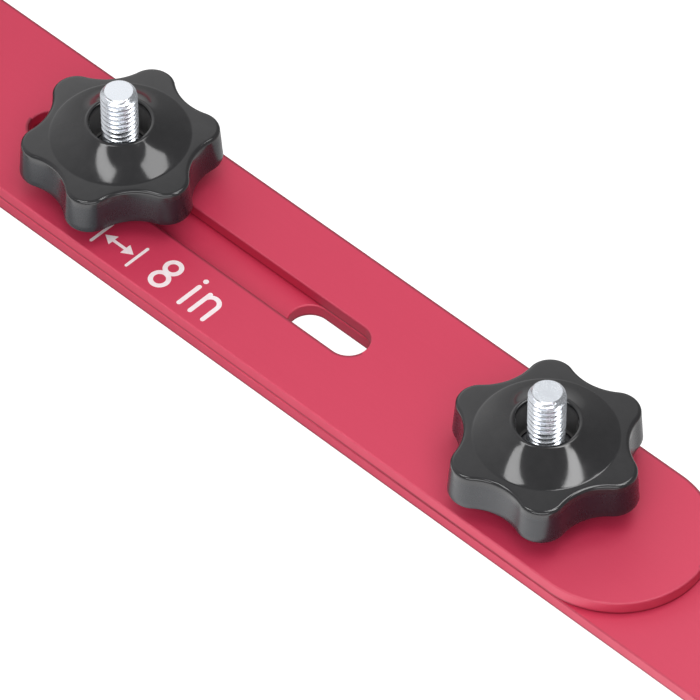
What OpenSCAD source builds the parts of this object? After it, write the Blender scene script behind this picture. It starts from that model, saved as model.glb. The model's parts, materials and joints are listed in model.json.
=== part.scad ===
// Adjustable stair tread gauge: two slotted bars that slide on each other,
// a swivelling end plate at each outer end, and four star knobs on carriage bolts.
// Millimetres. X runs along the bars, Y across them, Z up from the bolt heads.

/* [Bars] */
// Length of one bar over its rounded ends
bar_length = 203.2; // [180:0.1:300]
// Width of a bar and of the round lug of an end plate
bar_width = 30.25; // [26:0.25:40]
// Sheet thickness of the bars and of the end plates
sheet = 2.5; // [2:0.1:4]
// Inner end of a bar to its centre hole
inner_end = 30; // [24:0.5:36]
// Centre hole to the nearer end of the slot
hole_to_slot = 38.5; // [34:0.5:42]
// Length of the slot over its rounded ends
slot_length = 74; // [65:0.5:85]
// Distance between the two centre bolts as the gauge is set
bolt_spacing = 92.5; // [84:0.5:100]
// Chamfer that breaks the sheet edges
edge_break = 0.3; // [0.1:0.05:0.5]

/* [End plates] */
// Length of the straight measuring edge
edge_length = 254; // [200:1:280]
// Width of the strip behind the measuring edge
strip_width = 30; // [24:0.5:34]
// Pivot to the strip, outwards along the bar
strip_offset = 2; // [1:0.25:6]
// Corner radius of the strip
corner_radius = 4; // [2:0.5:8]
// Radius of the fillets where the lug meets the strip
web_fillet = 8; // [5:0.5:14]

/* [Bolts] */
// Thread diameter
bolt_d = 6; // [5:0.5:8]
// Length of the shank under the head
bolt_length = 25; // [22:0.5:40]
// How far the mushroom head reaches past the shank, all round
head_lip = 3.75; // [3:0.25:5]
// Height of the mushroom head
head_height = 3; // [2:0.25:4]
// How much wider the square neck is than the thread
neck_extra = 0.2; // [0:0.05:0.5]
// How far the neck stops short of the sheet's far face
neck_short = 0.1; // [0.05:0.05:0.4]
// Gap between the neck and its square hole, each side
neck_gap = 0.2; // [0.1:0.05:0.5]
// Gap between the thread and the slot, each side
slot_gap = 0.5; // [0.4:0.05:1.2]
// Chamfer on the end of the thread
end_chamfer = 0.9; // [0.4:0.1:1.4]

/* [Washers] */
// Gap between the thread and the washer's bore, all round
washer_gap = 0.2; // [0.1:0.05:0.5]
// Width of the washer's ring
washer_ring = 2.8; // [2.2:0.1:4]
// Thickness of a washer
washer_thick = 1.6; // [1:0.1:2]

/* [Knobs] */
// Diameter over opposite lobes, at the rim
knob_d = 32; // [29:0.5:36]
// Radius of a lobe's tip
lobe_r = 3.8; // [3.4:0.1:4.2]
// Depth of the hollows between the lobes
hollow_depth = 3.2; // [2.8:0.1:3.8]
// Height of the boss that stands below the skirt
boss_drop = 1.9; // [0.8:0.1:2.5]
// Height of the skirt
skirt_height = 6.6; // [5:0.1:9]
// How much the skirt spreads towards its foot, each side
skirt_flare = 0.4; // [0.2:0.05:0.8]
// Size of the broken edge between the skirt and the rim
rim_round = 0.5; // [0.3:0.05:0.8]
// Height of the cone-shaped hub above the rim
hub_height = 3.1; // [2:0.1:4]
// Rim left flat between the hub's foot and the hollows
hub_margin = 1.4; // [0.9:0.1:2]
// Width of the flat ring round the top of the hub
hub_land = 0.6; // [0.4:0.1:2]
// Moulded wall thickness
wall = 1.8; // [1.5:0.1:2.2]
// Gap between the thread and the recess in the top, all round
recess_gap = 2; // [1.8:0.1:2.4]
// Thickness of the ribs under the knob
rib = 1.6; // [1:0.1:2.4]
// Turn of the left centre knob as the gauge is set
left_knob_turn = 51; // [0:0.5:59.5]
// Turn of the right centre knob as the gauge is set
right_knob_turn = 9.5; // [0:0.5:59.5]
// Turn of the two pivot knobs as the gauge is set
pivot_knob_turn = 20; // [0:0.5:59.5]

/* [Threaded inserts] */
// Gap between the thread and the insert's bore, all round
insert_gap = 0.1; // [0.05:0.05:0.3]
// Wall of an insert
insert_wall = 1.4; // [1.2:0.1:1.6]
// Gap between an insert and the boss that holds it, all round
seat_gap = 0.05; // [0.02:0.01:0.1]
// Length of an insert
insert_length = 5; // [4:0.1:6]
// How far an insert sits back from the boss face
insert_back = 0.2; // [0.1:0.1:0.6]

/* [Hidden] */
$fn = 96;
eps = 0.01;
red = [0.80, 0.18, 0.28];
zinc = [0.78, 0.79, 0.80];
steel = [0.70, 0.71, 0.72];
black = [0.12, 0.12, 0.13];
dark_steel = [0.24, 0.24, 0.25];

end_r = bar_width / 2;
slot_width = bolt_d + 2 * slot_gap;
slot_r = slot_width / 2;
slot_near = -hole_to_slot - slot_r;
slot_far = -hole_to_slot - slot_length + slot_r;
pivot_back = inner_end - bar_length + end_r;
centre_x = bolt_spacing / 2;
pivot_x = -centre_x - pivot_back;

neck = bolt_d + neck_extra;
hole = neck + 2 * neck_gap;
head_r = bolt_d / 2 + head_lip;
dome_r = (head_r * head_r + head_height * head_height) / (2 * head_height);

level_1 = head_height;
level_2 = level_1 + sheet;
level_3 = level_2 + sheet;
level_4 = level_3 + washer_thick;

strip_in = -strip_offset;
strip_out = strip_in - strip_width;
fillet_x = strip_in + web_fillet;
fillet_y = sqrt(pow(end_r + web_fillet, 2) - pow(fillet_x, 2));

washer_bore = bolt_d + 2 * washer_gap;
washer_d = washer_bore + 2 * washer_ring;

insert_bore = bolt_d + 2 * insert_gap;
insert_d = insert_bore + 2 * insert_wall;
recess_d = bolt_d + 2 * recess_gap;

rim_z = boss_drop + skirt_height;
hub_z = rim_z + hub_height;
tip_r = knob_d / 2;
hollow_r = tip_r - hollow_depth;
lobe_x = tip_r - lobe_r;
valley_r = (pow(lobe_x, 2) + pow(hollow_r, 2) - 2 * lobe_x * hollow_r * cos(30) - pow(lobe_r, 2))
    / (2 * (lobe_r - hollow_r + lobe_x * cos(30)));
valley_x = hollow_r + valley_r;
cut_r = valley_r + eps;
hub_r = hollow_r - hub_margin;
hub_top_r = recess_d / 2 + hub_land;
seat_d = insert_d + 2 * seat_gap;
boss_r = seat_d / 2 + wall;
pocket_r = hollow_r - wall;
pocket_top = rim_z - wall;

// Half section of a sheet edge: full reach in the middle, broken at both faces.
function edge_profile(reach) = [
    [0, 0],
    [reach - edge_break, 0],
    [reach, edge_break],
    [reach, sheet - edge_break],
    [reach - edge_break, sheet],
    [0, sheet]
];

// Half section of a cut with its rims broken, a little taller than the sheet.
function cut_profile(reach) = [
    [0, -eps],
    [reach + edge_break + eps, -eps],
    [reach, edge_break],
    [reach, sheet - edge_break],
    [reach + edge_break + eps, sheet + eps],
    [0, sheet + eps]
];

function mirrored(half) = concat(
    half,
    [for (i = [len(half) - 1 : -1 : 0]) [-half[i][0], half[i][1]]]
);

module sheet_disc(r) {
    rotate_extrude()
        polygon(edge_profile(r));
}

module sheet_run(x0, x1, half_width) {
    translate([x0, 0, 0])
        rotate([90, 0, 90])
            linear_extrude(height = x1 - x0)
                polygon(mirrored(edge_profile(half_width)));
}

module cut_disc(r) {
    rotate_extrude()
        polygon(cut_profile(r));
}

module cut_run(x0, x1, half_width) {
    translate([x0, 0, 0])
        rotate([90, 0, 90])
            linear_extrude(height = x1 - x0)
                polygon(mirrored(cut_profile(half_width)));
}

module square_hole() {
    translate([-hole / 2, -hole / 2, -1])
        cube([hole, hole, sheet + 2]);
}

// One bar, lying flat with its centre hole on the origin and its slot towards -X.
module bar_shape() {
    difference() {
        union() {
            sheet_run(pivot_back, inner_end - end_r, end_r);
            translate([pivot_back, 0, 0])
                sheet_disc(end_r);
            translate([inner_end - end_r, 0, 0])
                sheet_disc(end_r);
        }
        cut_run(slot_far, slot_near, slot_r);
        translate([slot_far, 0, 0])
            cut_disc(slot_r);
        translate([slot_near, 0, 0])
            cut_disc(slot_r);
        square_hole();
        translate([pivot_back, 0, 0])
            square_hole();
    }
}

// One end plate, lying flat with its pivot hole on the origin and its edge towards -X.
module plate_shape() {
    difference() {
        union() {
            plate_strip();
            sheet_disc(end_r);
            plate_web();
        }
        square_hole();
    }
}

module plate_strip() {
    half = edge_length / 2;
    middle = (strip_in + strip_out) / 2;
    translate([middle, 0, 0])
        rotate([0, 0, 90])
            sheet_run(corner_radius - half, half - corner_radius, strip_width / 2);
    translate([middle, 0, 0])
        sheet_run(corner_radius - strip_width / 2, strip_width / 2 - corner_radius, half);
    for (x = [strip_out + corner_radius, strip_in - corner_radius])
        for (y = [corner_radius - half, half - corner_radius])
            translate([x, y, 0])
                sheet_disc(corner_radius);
}

module plate_web() {
    difference() {
        linear_extrude(height = sheet)
            polygon([
                [strip_in - 1, -fillet_y],
                [fillet_x, -fillet_y],
                [0, 0],
                [fillet_x, fillet_y],
                [strip_in - 1, fillet_y]
            ]);
        for (side = [-1, 1])
            translate([fillet_x, side * fillet_y, 0])
                cut_disc(web_fillet);
    }
}

// Carriage bolt standing on its mushroom head: shank up, head dome down to z = 0.
module bolt_shape() {
    intersection() {
        translate([0, 0, dome_r])
            sphere(r = dome_r);
        cylinder(r = head_r + 1, h = head_height);
    }
    translate([-neck / 2, -neck / 2, head_height - eps])
        cube([neck, neck, sheet - neck_short + eps]);
    translate([0, 0, head_height - eps])
        cylinder(d = bolt_d, h = bolt_length - end_chamfer + eps);
    translate([0, 0, head_height + bolt_length - end_chamfer])
        cylinder(d1 = bolt_d, d2 = bolt_d - 2 * end_chamfer, h = end_chamfer);
}

module washer_shape() {
    difference() {
        cylinder(d = washer_d, h = washer_thick);
        translate([0, 0, -1])
            cylinder(d = washer_bore, h = washer_thick + 2);
    }
}

module insert_shape() {
    difference() {
        translate([0, 0, insert_back])
            cylinder(d = insert_d, h = insert_length);
        translate([0, 0, insert_back - 1])
            cylinder(d = insert_bore, h = insert_length + 2);
    }
}

// Point at a radius and an angle.
function polar(r, a) = [r * cos(a), r * sin(a)];

// One tapered layer of the six-lobe star, drawn in by one inset at its foot and another at its top.
// The flat star joins the centres of the lobes and the hollows, so at any inset
// each lobe runs into the next hollow all but without a corner.
module star_layer(z, h, inset_low, inset_high, turn) {
    translate([0, 0, z])
        difference() {
            union() {
                linear_extrude(height = h)
                    polygon([for (k = [0 : 11])
                        polar(k % 2 == 0 ? lobe_x : valley_x, 30 * k + turn)]);
                for (k = [0 : 5])
                    translate(polar(lobe_x, 60 * k + turn))
                        cylinder(r1 = lobe_r - inset_low, r2 = lobe_r - inset_high, h = h);
            }
            for (k = [0 : 5])
                translate(polar(valley_x, 60 * k + 30 + turn))
                    cylinder(r1 = cut_r + inset_low, r2 = cut_r + inset_high, h = h);
        }
}

// Skirt of the knob: spreading towards its foot, with the rim's edge broken.
module star_skirt(turn) {
    foot_h = skirt_height - rim_round;
    star_layer(0, foot_h, -skirt_flare, 0, turn);
    star_layer(foot_h, rim_round, 0, rim_round, turn);
}

module cone_hub() {
    translate([0, 0, rim_z - 0.5])
        cylinder(r = hub_r, h = 0.5);
    translate([0, 0, rim_z])
        cylinder(r1 = hub_r, r2 = hub_top_r, h = hub_height);
}

module knob_hollow(turn) {
    depth = pocket_top - boss_drop;
    difference() {
        union() {
            translate([0, 0, boss_drop - 1])
                cylinder(r = pocket_r, h = depth + 1);
            for (k = [0 : 5])
                translate(polar(lobe_x, 60 * k + turn))
                    translate([0, 0, boss_drop - 1])
                        cylinder(r = lobe_r - wall, h = depth + 1);
        }
        translate([0, 0, boss_drop - 2])
            cylinder(r = boss_r, h = depth + 3);
        for (k = [0 : 2])
            rotate([0, 0, 60 * k + 30 + turn])
                translate([-tip_r, -rib / 2, boss_drop - 2])
                    cube([2 * tip_r, rib, depth + 3]);
    }
}

// Star knob standing on its boss face, one lobe turned by the given angle from +X.
module knob_shape(turn) {
    difference() {
        union() {
            translate([0, 0, boss_drop])
                star_skirt(turn);
            cone_hub();
            cylinder(r = boss_r, h = boss_drop + 1);
        }
        knob_hollow(turn);
        translate([0, 0, -1])
            cylinder(d = seat_d, h = insert_back + insert_length + 1);
        translate([0, 0, insert_back + insert_length - eps])
            cylinder(d = recess_d, h = hub_z);
    }
}

module upper_bar() {
    color(red)
        translate([centre_x, 0, level_2])
            bar_shape();
}

module lower_bar() {
    color(red)
        rotate([0, 0, 180])
            translate([centre_x, 0, level_1])
                bar_shape();
}

module left_end_plate() {
    color(red)
        translate([-pivot_x, 0, level_1])
            plate_shape();
}

module right_end_plate() {
    color(red)
        rotate([0, 0, 180])
            translate([-pivot_x, 0, level_2])
                plate_shape();
}

module left_centre_bolt() {
    color(zinc)
        translate([-centre_x, 0, 0])
            bolt_shape();
}

module right_centre_bolt() {
    color(zinc)
        translate([centre_x, 0, 0])
            bolt_shape();
}

module left_pivot_bolt() {
    color(zinc)
        translate([-pivot_x, 0, 0])
            bolt_shape();
}

module right_pivot_bolt() {
    color(zinc)
        translate([pivot_x, 0, 0])
            bolt_shape();
}

module left_centre_washer() {
    color(steel)
        translate([-centre_x, 0, level_3])
            washer_shape();
}

module right_centre_washer() {
    color(steel)
        translate([centre_x, 0, level_3])
            washer_shape();
}

module left_pivot_washer() {
    color(steel)
        translate([-pivot_x, 0, level_3])
            washer_shape();
}

module right_pivot_washer() {
    color(steel)
        translate([pivot_x, 0, level_3])
            washer_shape();
}

module left_centre_knob() {
    color(black)
        translate([-centre_x, 0, level_4])
            knob_shape(left_knob_turn);
}

module right_centre_knob() {
    color(black)
        translate([centre_x, 0, level_4])
            knob_shape(right_knob_turn);
}

module left_pivot_knob() {
    color(black)
        translate([-pivot_x, 0, level_4])
            knob_shape(pivot_knob_turn);
}

module right_pivot_knob() {
    color(black)
        translate([pivot_x, 0, level_4])
            knob_shape(pivot_knob_turn);
}

module left_centre_insert() {
    color(dark_steel)
        translate([-centre_x, 0, level_4])
            insert_shape();
}

module right_centre_insert() {
    color(dark_steel)
        translate([centre_x, 0, level_4])
            insert_shape();
}

module left_pivot_insert() {
    color(dark_steel)
        translate([-pivot_x, 0, level_4])
            insert_shape();
}

module right_pivot_insert() {
    color(dark_steel)
        translate([pivot_x, 0, level_4])
            insert_shape();
}

upper_bar();
lower_bar();
left_end_plate();
right_end_plate();
left_centre_bolt();
right_centre_bolt();
left_pivot_bolt();
right_pivot_bolt();
left_centre_washer();
right_centre_washer();
left_pivot_washer();
right_pivot_washer();
left_centre_knob();
right_centre_knob();
left_pivot_knob();
right_pivot_knob();
left_centre_insert();
right_centre_insert();
left_pivot_insert();
right_pivot_insert();
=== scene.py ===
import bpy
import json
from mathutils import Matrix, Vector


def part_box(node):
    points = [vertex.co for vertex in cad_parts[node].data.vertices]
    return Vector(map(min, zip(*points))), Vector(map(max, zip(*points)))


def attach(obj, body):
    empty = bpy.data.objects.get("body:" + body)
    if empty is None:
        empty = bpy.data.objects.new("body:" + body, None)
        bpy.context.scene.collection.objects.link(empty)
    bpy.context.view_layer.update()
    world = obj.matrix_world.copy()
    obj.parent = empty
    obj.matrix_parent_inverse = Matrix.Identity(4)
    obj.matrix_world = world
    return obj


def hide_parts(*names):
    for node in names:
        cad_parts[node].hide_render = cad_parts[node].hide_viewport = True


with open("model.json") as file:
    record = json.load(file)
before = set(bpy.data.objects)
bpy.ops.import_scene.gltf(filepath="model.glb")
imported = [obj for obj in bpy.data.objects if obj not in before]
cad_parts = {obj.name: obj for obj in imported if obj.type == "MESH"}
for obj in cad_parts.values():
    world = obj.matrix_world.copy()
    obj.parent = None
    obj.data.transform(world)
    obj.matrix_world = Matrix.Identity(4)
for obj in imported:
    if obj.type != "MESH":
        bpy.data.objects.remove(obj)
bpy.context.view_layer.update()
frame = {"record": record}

import json
import math

import bmesh
import bpy
from bpy.props import FloatProperty, FloatVectorProperty, IntProperty, PointerProperty
from mathutils import Matrix, Vector

bl_info = {
    "name": "Stair tread gauge",
    "version": (1, 0, 0),
    "blender": (4, 5, 0),
    "location": "3D View > Sidebar > Tread gauge",
    "description": "Builds the looks of an adjustable stair tread gauge round its packed solids",
    "category": "Add Mesh",
}

MM = 0.001
PLACES = ("left_centre", "right_centre", "left_pivot", "right_pivot")
BODY_OF = {
    node: body
    for body, nodes in frame["record"]["behaviour"]["bodies"].items()
    for node in nodes
}
TURN = 2 * math.pi
SLIDE_GAP = 0.02 * MM  # left where the washers and the bolt heads slide on the bars
SAME_POINT = 1e-7  # points nearer than this are one
WELD = 2e-6  # vertices of a bolt nearer than this are one

# Wear with painted highlight, and painted shade, of the sheets' edges, from 0 for none to 1.
SEAM_SHUT = -3 * MM  # the seam between the bars gets no painted shade left of this X
SEAM_OPEN = 35 * MM  # and is at its darkest from here on
SEAM_SHADE = 0.6
WALL_LIFT = 0.1  # less Z than this in its normal makes a part of an edge a wall
FAR_SIDE = 0.2  # an edge faces the far side from this Y of its outward normal on
FAR_LIP = 0.75  # painted shade: a dark line along the top of a far side
WALL_SHADE = 0.22  # painted shade of the far sides and the walls of holes
SIDE_SHADE = 0.1  # painted shade of the near sides
SIDE_DIM = 0.1  # painted shade that near sides gain over each length from SEAM_SHUT to SEAM_OPEN, darker towards +X where the light is stronger
SIDE_DIM_MOST = 0.3
SIDE_SHEEN = 0.5  # painted sheen that lightens the near sides, in the rubbed colour
FOOT_SHADE = 0.85  # painted shade: a dark line along the foot of a near side

# Painted light that the floor gives off, towards the back: metres from the middle, and its level there. It
# is bright in front and a painted shadow, dim, under the gauge and behind it.
FLOOR_LIGHT = (
    (-0.2, 0.92),
    (-0.08, 1.1),
    (-0.028, 1.1),
    (-0.022, 0.2),
    (0.012, 0.25),
    (0.02, 0.35),
    (0.06, 0.2),
    (0.2, 0.14),
)
FLOOR_SLANT = 0.1  # slope of those bands to the bars
FLOOR_WHITE = (0.6, 0.6, 0.6, 1)  # level at which the floor looks plain white
FLOOR_PAINT = 0.22  # share of the floor that takes light like paint


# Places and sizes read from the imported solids.

def low(node):
    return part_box(node)[0]


def high(node):
    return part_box(node)[1]


def axis_of(node):
    """X and Y of the middle of a node."""
    a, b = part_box(node)
    return (a[0] + b[0]) / 2, (a[1] + b[1]) / 2


BOLT_X = axis_of("right_centre_bolt")[0]
PIVOT_X = axis_of("right_pivot_bolt")[0]
SHEET = high("upper_bar")[2] - low("upper_bar")[2]
BAR_WIDTH = high("upper_bar")[1] - low("upper_bar")[1]
BAR_INNER_END = high("upper_bar")[0]
PLATE_EDGE = high("right_end_plate")[1]
PLATE_OUT = high("right_end_plate")[0]
BOLT_TOP = high("left_centre_bolt")[2]


# Settings shown in the sidebar.

def length(name, description, default_mm):
    size = default_mm * MM
    return FloatProperty(name=name, description=description, default=size, unit="LENGTH", precision=5)


def angle(name, description, degrees):
    turn = math.radians(degrees)
    return FloatProperty(name=name, description=description, default=turn, subtype="ANGLE")


def power(name, description, default):
    return FloatProperty(name=name, description=description, default=default, min=0)


def colour(name, description, rgb):
    rgba = (*rgb, 1.0)
    return FloatVectorProperty(
        name=name, description=description, default=rgba, size=4, subtype="COLOR", min=0, max=1
    )


def factor(name, description, default):
    return FloatProperty(name=name, description=description, default=default, subtype="FACTOR", min=0, max=1)


class GaugeSheetSettings(bpy.types.PropertyGroup):
    """Sizes and colours of the bars and the end plates."""

    edge: length("Edge round", "Radius that breaks the sheet's edges", 0.3)
    slot_width: length("Slot width", "Width of the long slot in a bar", 7)
    slot_near: length("Hole to slot", "Centre hole to the nearer end of the slot", 38.5)
    slot_length: length("Slot length", "Length of the slot over its rounded ends", 74)
    hole: length("Square hole", "Side of a punched square hole", 6.6)
    hole_corner: length("Hole corner", "Corner radius of a punched hole", 0.35)
    strip_width: length("Strip width", "Width of the strip behind a measuring edge", 30)
    corner: length("Strip corner", "Corner radius of the strip", 4)
    web_fillet: length("Web fillet", "Radius where the lug meets the strip", 8)
    red: colour("Red", "Main colour of the anodised sheet", (0.585, 0.022, 0.074))
    red_pale: colour("Pale red", "Lighter clouds and grain of the anodised sheet", (0.67, 0.042, 0.104))
    # Painted shade: the slot walls, the far edges, the foot of the near sides and the bars' seam are
    # darkened towards this colour.
    painted_shade_red: colour("Deep red", "Colour of the slot walls and of the bars' seam", (0.17, 0.006, 0.020))
    # Wear and painted highlight: the near edges and near sides are lightened towards this colour.
    rubbed: colour("Rubbed edge", "Colour where handling has rubbed the edges", (0.80, 0.14, 0.21))
    roughness: factor("Roughness", "Mean roughness of the satin surface", 0.52)


class GaugeKnobSettings(bpy.types.PropertyGroup):
    """Sizes and colours of the star knobs."""

    across: length("Across lobes", "Diameter over opposite lobes, at the rim", 32)
    lobe: length("Lobe radius", "Radius of a lobe's tip", 3.8)
    hollow: length("Hollow depth", "Depth of the hollows between the lobes", 3.2)
    flare: length("Skirt flare", "How much the skirt spreads towards its foot", 0.4)
    rim_round: length("Rim round", "Radius of the rim's rounded edge", 0.6)
    wall: length("Wall", "Thickness of the moulded wall", 1.8)
    boss_drop: length("Boss drop", "Height of the boss below the skirt", 1.9)
    skirt: length("Skirt", "Height of the skirt", 6.6)
    hub_foot: length("Hub foot", "Radius where the cone-shaped hub meets the rim", 11.4)
    hub_top: length("Hub top", "Radius of the top of the hub", 5.6)
    hub_hollow: length("Hub hollow", "Radius of the hub's slightly hollow flank", 28)
    foot_round: length("Foot round", "Radius where the hub runs into the rim", 1.0)
    crown: angle("Crown", "Fall of the rim towards the lobes", 2.5)
    recess: length("Recess", "Radius of the recess in the top", 5)
    seat: length("Insert seat", "Radius of the bore that holds the insert", 4.55)
    boss: length("Boss radius", "Radius of the boss", 6.35)
    insert_top: length("Insert top", "Height of the insert's top above the boss face", 5.2)
    rib: length("Rib", "Thickness of a rib under the knob", 1.6)
    black: colour("Black", "Colour of the moulded plastic", (0.021, 0.021, 0.0225))
    # Painted shade: the skirt is darkened towards this colour.
    skirt_shade_black: colour("Skirt black", "Colour of the clean plastic of the skirt", (0.009, 0.011, 0.016))
    dust: colour("Dust", "Colour of faint dust and rubbing", (0.075, 0.073, 0.075))
    # Painted light: the recess round the thread is lightened towards this colour, standing in for light
    # thrown back from the stud.
    well: colour("Dusty recess", "Colour of the dusty recess round the thread", (0.16, 0.157, 0.157))
    roughness: factor("Roughness", "Mean roughness of the glossy plastic", 0.1)


class GaugeBoltSettings(bpy.types.PropertyGroup):
    """Sizes and colours of the bolts, washers and inserts."""

    diameter: length("Thread", "Outer diameter of the thread", 6)
    pitch: length("Pitch", "Rise of the thread in one turn", 1)
    depth: length("Thread depth", "Depth of the thread's groove", 0.52)
    chamfer: length("End chamfer", "Chamfer on the end of the thread", 0.7)
    neck: length("Neck", "Side of the square neck", 6.2)
    neck_short: length("Neck short", "How far the neck stops short of the sheet", 0.1)
    head_height: length("Head height", "Height of the mushroom head", 3)
    zinc: colour("Zinc", "Colour of the bright plating", (0.87, 0.90, 0.95))
    zinc_grey: colour("Grey zinc", "Colour of the plating where it has dulled", (0.74, 0.78, 0.84))
    # Painted shade: the plating in the thread's grooves is darkened towards this colour.
    groove: colour("Groove", "Colour of the dull plating deep in the thread", (0.13, 0.13, 0.14))
    dark: colour("Dark steel", "Colour of the blackened inserts", (0.085, 0.085, 0.09))
    columns: IntProperty(name="Columns", description="Faces round the thread", default=64, min=24, max=96)
    rows: IntProperty(name="Rows", description="Rows of faces along one turn", default=16, min=8, max=24)


class GaugeMarkSettings(bpy.types.PropertyGroup):
    """Size and place of the printed size mark."""

    stroke: length("Stroke", "Width of a printed stroke", 0.83)
    base: length("Base line", "Y of the foot of the characters", -13.4)
    low_letter: length("Letter height", "Height of the small letters", 5.4)
    digit_x: length("Digit", "X of the middle of the digit", -26.25)
    low_loop: length("Lower loop", "Outer radius of the digit's lower loop", 1.87)
    top_loop: length("Upper loop", "Outer radius of the digit's upper loop", 1.73)
    loop_gap: length("Loop spacing", "Distance between the middles of the two loops", 3.12)
    i_x: length("First letter", "X of the first letter's stem", -20.45)
    dot_rise: length("Dot height", "Height of the dot over the base line", 6.5)
    n_x: length("Second letter", "X of the second letter's first stem", -18.0)
    arch: length("Arch", "Radius of the second letter's arch, at mid stroke", 1.4)
    span_x: length("Span mark", "X of the left tip of the arrowed span mark", -39.3)
    span: length("Span length", "Length of the arrowed span mark", 6.4)
    ink: colour("Ink", "Colour of the print", (0.98, 0.955, 0.96))


class GaugeStageSettings(bpy.types.PropertyGroup):
    """Camera, light and floor."""

    azimuth: angle("Azimuth", "Camera angle round the gauge", 44.012)
    elevation: angle("Elevation", "Camera angle above the floor", 47.838)
    roll: angle("Roll", "Turn of the camera about its view", -0.217)
    field: angle("Field of view", "Angle that the picture takes in", 6.08)
    distance: length("Distance", "Camera to the aim point", 1034.4)
    aim: FloatVectorProperty(
        name="Aim",
        description="Point at the middle of the picture",
        default=(0.00612, -0.00164, 0.008),
        subtype="TRANSLATION",
    )
    left: power("Left light", "Power of the soft box on the left", 0.38)
    right: power("Right light", "Power of the small soft box on the right", 0.086)
    low: power("Low light", "Power of the soft box behind on the right", 0.19)
    back: power("Back glow", "Strength of the glow of the room behind", 1.45)
    wall: power("Wall glow", "Strength of the glow of the left wall", 0.5)
    front: power("Front light", "Power of the soft box behind the camera", 7.8)
    fill: power("Fill light", "Power of the wide soft box overhead", 3.4)
    sky: power("Room light", "Strength of the even light all round", 0.28)
    glow: power("Floor light", "Light that the lit floor gives off", 2.2)
    floor: colour("Floor", "Colour of the plain floor", (0.93, 0.93, 0.935))


# Node trees: shader and geometry maths written as expressions.

class Wire:
    """One output socket of a node tree. Arithmetic on wires adds the Math nodes."""

    def __init__(self, tree, socket=None):
        self.tree = tree
        self.socket = socket

    def add(self, kind, settings=None, sockets=None, out=0):
        """Adds any node: its type, its settings, and values or wires for its sockets."""
        node = self.tree.nodes.new(kind)
        for name, value in (settings or {}).items():
            if name == "stops":
                ramp = node.color_ramp
                while len(ramp.elements) < len(value):
                    ramp.elements.new(0.5)
                for element, (position, shade) in zip(ramp.elements, value):
                    element.position = position
                    element.color = shade
            else:
                setattr(node, name, value)
        for name, value in (sockets or {}).items():
            if isinstance(value, Wire):
                self.tree.links.new(value.socket, node.inputs[name])
            else:
                node.inputs[name].default_value = value
        return Wire(self.tree, node.outputs[out] if len(node.outputs) else None)

    def output(self, name):
        """Another output of the same node."""
        return Wire(self.tree, self.socket.node.outputs[name])

    def math(self, operation, *values):
        return self.add("ShaderNodeMath", {"operation": operation}, dict(enumerate(values)))

    def __add__(self, other):
        return self.math("ADD", self, other)

    def __radd__(self, other):
        return self.math("ADD", other, self)

    def __sub__(self, other):
        return self.math("SUBTRACT", self, other)

    def __rsub__(self, other):
        return self.math("SUBTRACT", other, self)

    def __mul__(self, other):
        return self.math("MULTIPLY", self, other)

    def __rmul__(self, other):
        return self.math("MULTIPLY", other, self)

    def __truediv__(self, other):
        return self.math("DIVIDE", self, other)

    def __pow__(self, other):
        return self.math("POWER", self, other)

    def clamp(self, least=0.0, most=1.0):
        return self.math("MINIMUM", self.math("MAXIMUM", self, least), most)

    def mix(self, first, second):
        """A colour between two, by this wire."""
        return self.add(
            "ShaderNodeMix",
            {"data_type": "RGBA"},
            {"Factor": self, 6: first, 7: second},
            out=2,
        )


def new_material(name):
    """A material with an empty tree, a wire to start from and a wire of object coordinates."""
    material = bpy.data.materials.new(name)
    material.use_nodes = True
    material.node_tree.nodes.clear()
    start = Wire(material.node_tree)
    return material, start, object_point(start)


def surface(start, base, roughness, height, bump, reach, **constants):
    """Principled shader with the varying inputs linked and the constant ones set on it.
    The bump has a strength, and a reach in millimetres."""
    normal = start.add(
        "ShaderNodeBump",
        sockets={"Strength": bump, "Distance": reach * MM, "Height": height},
    )
    shader = start.add(
        "ShaderNodeBsdfPrincipled",
        sockets={"Base Color": base, "Roughness": roughness, "Normal": normal},
    )
    for name, value in constants.items():
        shader.socket.node.inputs[name.replace("_", " ")].default_value = value
    start.add("ShaderNodeOutputMaterial", sockets={"Surface": shader})


def noise(start, point, scale, detail=2.0, roughness=0.5):
    """Noise with so many cells to the metre."""
    return start.add(
        "ShaderNodeTexNoise",
        sockets={"Vector": point, "Scale": scale, "Detail": detail, "Roughness": roughness},
    )


def object_point(start, stretch=(1, 1, 1)):
    """Object coordinates, stretched along the axes."""
    point = start.add("ShaderNodeTexCoord").output("Object")
    return start.add("ShaderNodeMapping", sockets={"Vector": point, "Scale": stretch})


def attribute(start, name):
    """A mark that the mesh carries on its vertices."""
    return start.add("ShaderNodeAttribute", {"attribute_name": name}).output("Fac")


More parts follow.
